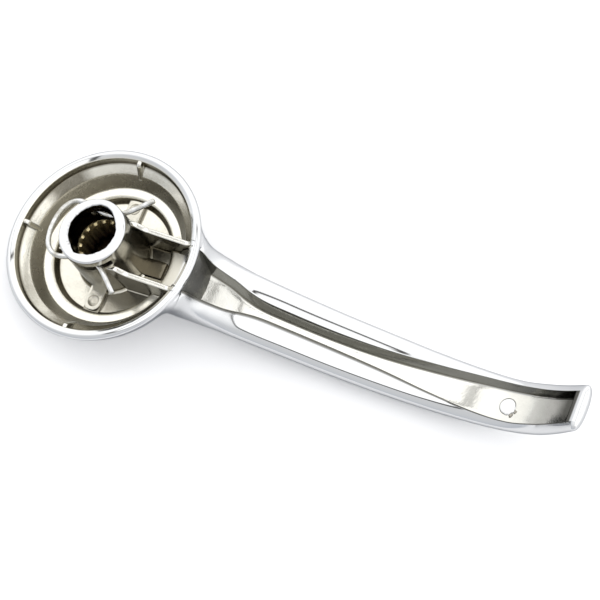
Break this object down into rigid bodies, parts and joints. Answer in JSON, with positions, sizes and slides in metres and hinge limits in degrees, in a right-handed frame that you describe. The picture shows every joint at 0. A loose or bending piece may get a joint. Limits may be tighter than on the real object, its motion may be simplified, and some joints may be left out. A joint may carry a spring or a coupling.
{
  "type": "door handle",
  "caption": "Chromed die-cast lever handle with a round cup-shaped boss, a splined spindle socket and a wire retaining clip, shown from its open back.",
  "frame": {"origin": "the centre of the boss's flat front face, on the spindle axis", "axes": "+X runs along the lever, +Z is the spindle axis, from the front of the boss to the mouth of the hub, and +Y completes them; the handle is the same on both sides of the XZ plane"},
  "size_m": [0.1177, 0.0404, 0.0369],
  "materials": {
    "handle_casting": "polished plating outside, duller in the hollows",
    "splined_insert": "dark, lightly rusted",
    "retaining_clip": "bright drawn wire"
  },
  "bodies": {
    "handle": {"handle_casting": "handle_casting", "splined_insert": "splined_insert"},
    "clip": {"retaining_clip": "retaining_clip"}
  },
  "joints": [
    {"name": "clip_slide", "type": "slide", "parent": "handle", "child": "clip", "axis": [1, 0, 0], "range_m": [-0.0165, 0.0018]}
  ]
}
